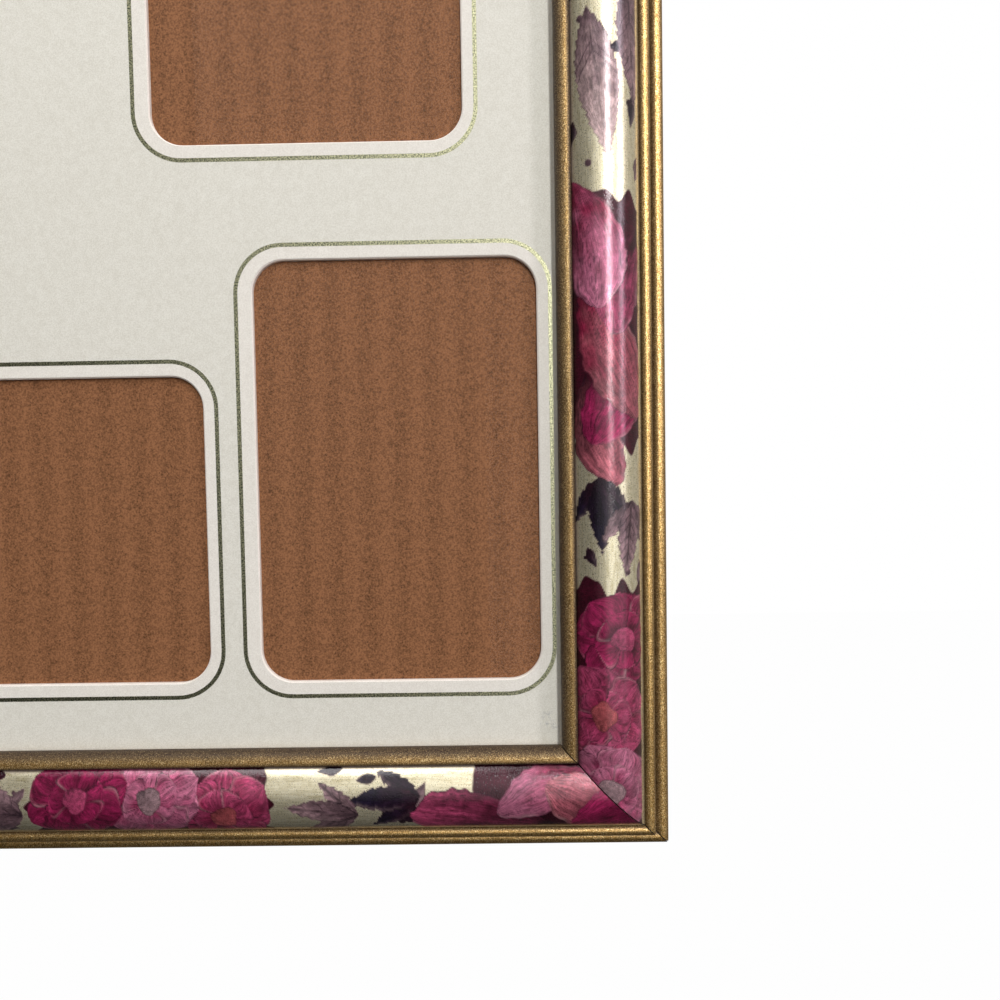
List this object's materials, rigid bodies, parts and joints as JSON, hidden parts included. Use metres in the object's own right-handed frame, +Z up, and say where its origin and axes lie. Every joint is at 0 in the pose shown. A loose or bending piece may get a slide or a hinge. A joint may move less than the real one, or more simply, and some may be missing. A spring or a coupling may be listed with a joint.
{
  "type": "collage photo frame",
  "caption": "Wall-hung collage photo frame: mitred gilt moulding with a printed floral band, glass, mat with rounded openings, corrugated pad and backing held by turn buttons.",
  "frame": {"origin": "middle of the frame's back, on the outer face of the backing board, in the plane of the moulding's flat back", "axes": "+X to the right seen from the front, +Y from the front towards the wall, +Z up as the frame hangs"},
  "size_m": [0.3256, 0.0213, 0.4016],
  "materials": {
    "gilded_wood": "satin gilding over wood",
    "printed_foil_paper": "gloss print over champagne foil",
    "nail_steel": "bright",
    "picture_glass": "clear, polished",
    "cream_mat_board": "matt, with metallic foil lines",
    "kraft_board": "matt kraft paper",
    "hardboard": "smooth pressed fibre",
    "zinc_screw": "bright zinc plate",
    "hanger_plating": "brass-plated steel",
    "button_steel": "zinc-plated, stamped"
  },
  "bodies": {
    "frame": {"rail_top": "gilded_wood", "rail_bottom": "gilded_wood", "rail_left": "gilded_wood", "rail_right": "gilded_wood", "printed_band_top": "printed_foil_paper", "printed_band_bottom": "printed_foil_paper", "printed_band_left": "printed_foil_paper", "printed_band_right": "printed_foil_paper", "corner_nails": "nail_steel", "glass_pane": "picture_glass", "mat_board": "cream_mat_board", "corrugated_pad": "kraft_board", "backing_board": "hardboard", "button_screws": "zinc_screw", "sawtooth_hanger": "hanger_plating", "hanger_nails": "hanger_plating"},
    "turn_button_top_a": {"turn_button_top_a": "button_steel"},
    "turn_button_top_b": {"turn_button_top_b": "button_steel"},
    "turn_button_bottom_a": {"turn_button_bottom_a": "button_steel"},
    "turn_button_bottom_b": {"turn_button_bottom_b": "button_steel"},
    "turn_button_left_a": {"turn_button_left_a": "button_steel"},
    "turn_button_left_b": {"turn_button_left_b": "button_steel"},
    "turn_button_right_a": {"turn_button_right_a": "button_steel"},
    "turn_button_right_b": {"turn_button_right_b": "button_steel"}
  },
  "joints": [
    {"name": "button_turn_top_a", "type": "hinge", "parent": "frame", "child": "turn_button_top_a", "pos_m": [-0.07334, 0.00075, 0.1851], "axis": [0, 1, 0], "continuous": true},
    {"name": "button_turn_top_b", "type": "hinge", "parent": "frame", "child": "turn_button_top_b", "pos_m": [0.07334, 0.00075, 0.1851], "axis": [0, 1, 0], "continuous": true},
    {"name": "button_turn_bottom_a", "type": "hinge", "parent": "frame", "child": "turn_button_bottom_a", "pos_m": [0.07334, 0.00075, -0.1851], "axis": [0, 1, 0], "continuous": true},
    {"name": "button_turn_bottom_b", "type": "hinge", "parent": "frame", "child": "turn_button_bottom_b", "pos_m": [-0.07334, 0.00075, -0.1851], "axis": [0, 1, 0], "continuous": true},
    {"name": "button_turn_left_a", "type": "hinge", "parent": "frame", "child": "turn_button_left_a", "pos_m": [-0.147, 0.00075, -0.0943], "axis": [0, 1, 0], "continuous": true},
    {"name": "button_turn_left_b", "type": "hinge", "parent": "frame", "child": "turn_button_left_b", "pos_m": [-0.147, 0.00075, 0.0943], "axis": [0, 1, 0], "continuous": true},
    {"name": "button_turn_right_a", "type": "hinge", "parent": "frame", "child": "turn_button_right_a", "pos_m": [0.147, 0.00075, 0.0943], "axis": [0, 1, 0], "continuous": true},
    {"name": "button_turn_right_b", "type": "hinge", "parent": "frame", "child": "turn_button_right_b", "pos_m": [0.147, 0.00075, -0.0943], "axis": [0, 1, 0], "continuous": true}
  ]
}
